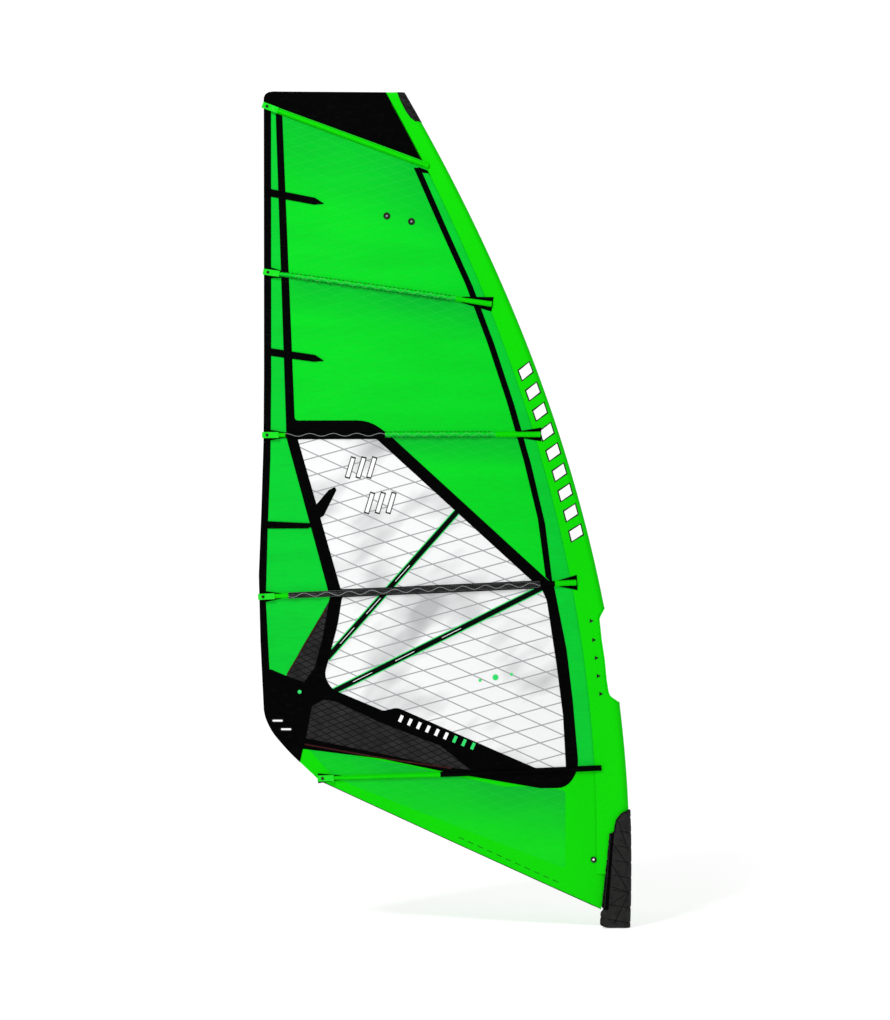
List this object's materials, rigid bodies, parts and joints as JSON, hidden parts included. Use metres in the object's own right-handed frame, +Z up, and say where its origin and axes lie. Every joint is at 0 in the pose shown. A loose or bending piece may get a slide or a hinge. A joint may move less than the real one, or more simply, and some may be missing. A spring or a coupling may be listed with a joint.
{
  "type": "windsurf sail",
  "caption": "Rigged windsurf wave sail with battens, a film window, an open mast sleeve with a boom cut-out, clew slots, a tack pulley and a padded tack fairing that opens.",
  "frame": {"origin": "centre of the mast opening at the foot of the tack fairing", "axes": "+Z up the mast towards the head, +X forwards towards the luff, -Y towards the side with the batten pockets"},
  "size_m": [1.7475, 0.1285, 3.904],
  "materials": {
    "green_cloth": "bright green laminated sleeve cloth, soft sheen",
    "panel_cloth": "green laminate panels with a fine weave",
    "black_cloth": "black laminate, satin",
    "webbing": "woven black webbing",
    "grid_film": "dark grey scrim laminate",
    "window_film": "translucent white film with grey scrim threads",
    "pad_cloth": "quilted dark grey neoprene",
    "cap_plastic": "black moulded plastic",
    "cup_nylon": "white nylon",
    "steel": "stainless steel",
    "eyelet_metal": "dark stainless steel",
    "batten_rod": "glass fibre rod"
  },
  "bodies": {
    "rig": {"sleeve_upper": "green_cloth", "sleeve_lower": "green_cloth", "leech_panel": "panel_cloth", "luff_panel": "panel_cloth", "top_panel": "panel_cloth", "upper_panel": "panel_cloth", "mid_panel": "panel_cloth", "foot_panel": "panel_cloth", "pocket_1": "panel_cloth", "pocket_2": "panel_cloth", "pocket_3": "panel_cloth", "head_panel": "black_cloth", "clew_patch": "black_cloth", "window_frame": "black_cloth", "luff_stripe": "black_cloth", "leech_tape": "black_cloth", "strut_upper": "black_cloth", "strut_lower": "black_cloth", "mini_batten_1": "black_cloth", "mini_batten_2": "black_cloth", "mini_batten_3": "black_cloth", "tack_plate": "black_cloth", "pulley_strap": "webbing", "clew_gusset": "grid_film", "foot_strip": "grid_film", "head_patch": "grid_film", "pocket_4": "grid_film", "pocket_5": "grid_film", "window_upper": "window_film", "window_lower": "window_film", "fairing_back": "pad_cloth", "cap_1": "cap_plastic", "cap_2": "cap_plastic", "cap_3": "cap_plastic", "cap_4": "cap_plastic", "cap_5": "cap_plastic", "tack_eyelet": "eyelet_metal", "clew_eyelet_1": "eyelet_metal", "clew_eyelet_2": "eyelet_metal", "batten_1": "batten_rod", "batten_2": "batten_rod", "batten_3": "batten_rod", "batten_4": "batten_rod", "batten_5": "batten_rod"},
    "flap": {"fairing_flap": "pad_cloth"},
    "pulley": {"pulley_frame": "steel", "pulley_pin": "steel"},
    "sheave_1": {"sheave_1": "cup_nylon"},
    "sheave_2": {"sheave_2": "cup_nylon"},
    "sheave_3": {"sheave_3": "cup_nylon"},
    "screw_1": {"screw_1": "steel"},
    "cup_1": {"cup_1": "cup_nylon"},
    "screw_2": {"screw_2": "steel"},
    "cup_2": {"cup_2": "cup_nylon"},
    "screw_3": {"screw_3": "steel"},
    "cup_3": {"cup_3": "cup_nylon"},
    "screw_4": {"screw_4": "steel"},
    "cup_4": {"cup_4": "cup_nylon"},
    "screw_5": {"screw_5": "steel"},
    "cup_5": {"cup_5": "cup_nylon"}
  },
  "joints": [
    {"name": "flap_hinge", "type": "hinge", "parent": "rig", "child": "flap", "pos_m": [0.0465, 0, 0.27], "axis": [0, 0, 1], "range_deg": [0, 110]},
    {"name": "pulley_swing", "type": "hinge", "parent": "rig", "child": "pulley", "pos_m": [-0.062, -0.0047, 0.203], "axis": [1, 0, 0], "range_deg": [-4, 8]},
    {"name": "sheave_1_spin", "type": "hinge", "parent": "pulley", "child": "sheave_1", "pos_m": [-0.062, -0.01375, 0.165], "axis": [0, 1, 0], "continuous": true},
    {"name": "sheave_2_spin", "type": "hinge", "parent": "pulley", "child": "sheave_2", "pos_m": [-0.062, -0.0047, 0.165], "axis": [0, 1, 0], "continuous": true},
    {"name": "sheave_3_spin", "type": "hinge", "parent": "pulley", "child": "sheave_3", "pos_m": [-0.062, 0.00435, 0.165], "axis": [0, 1, 0], "continuous": true},
    {"name": "screw_1_turn", "type": "hinge", "parent": "rig", "child": "screw_1", "pos_m": [-1.677, -0.04892, 3.841], "axis": [0.9363, 0.0789, -0.3421], "range_deg": [-1981, 0]},
    {"name": "cup_1_slide", "type": "slide", "parent": "rig", "child": "cup_1", "axis": [0.9363, 0.0789, -0.3421], "range_m": [-0.011, 0]},
    {"name": "screw_2_turn", "type": "hinge", "parent": "rig", "child": "screw_2", "pos_m": [-1.674, -0.03484, 3.064], "axis": [0.9901, -0.0098, -0.1399], "range_deg": [-1981, 0]},
    {"name": "cup_2_slide", "type": "slide", "parent": "rig", "child": "cup_2", "axis": [0.9901, -0.0098, -0.1399], "range_m": [-0.011, 0]},
    {"name": "screw_3_turn", "type": "hinge", "parent": "rig", "child": "screw_3", "pos_m": [-1.679, -0.02411, 2.302], "axis": [0.9993, -0.0371, 0.0023], "range_deg": [-1981, 0]},
    {"name": "cup_3_slide", "type": "slide", "parent": "rig", "child": "cup_3", "axis": [0.9993, -0.0371, 0.0023], "range_m": [-0.011, 0]},
    {"name": "screw_4_turn", "type": "hinge", "parent": "rig", "child": "screw_4", "pos_m": [-1.698, -0.01647, 1.546], "axis": [0.9979, -0.0454, 0.0451], "range_deg": [-1981, 0]},
    {"name": "cup_4_slide", "type": "slide", "parent": "rig", "child": "cup_4", "axis": [0.9979, -0.0454, 0.0451], "range_m": [-0.011, 0]},
    {"name": "screw_5_turn", "type": "hinge", "parent": "rig", "child": "screw_5", "pos_m": [-1.42, -0.02489, 0.698], "axis": [0.9967, -0.0726, 0.037], "range_deg": [-1981, 0]},
    {"name": "cup_5_slide", "type": "slide", "parent": "rig", "child": "cup_5", "axis": [0.9967, -0.0726, 0.037], "range_m": [-0.011, 0]}
  ],
  "couplings": [
    {"joint": "screw_1_turn", "follows": "cup_1_slide", "rad_per_m": 3141.6},
    {"joint": "screw_2_turn", "follows": "cup_2_slide", "rad_per_m": 3141.6},
    {"joint": "screw_3_turn", "follows": "cup_3_slide", "rad_per_m": 3141.6},
    {"joint": "screw_4_turn", "follows": "cup_4_slide", "rad_per_m": 3141.6},
    {"joint": "screw_5_turn", "follows": "cup_5_slide", "rad_per_m": 3141.6}
  ]
}
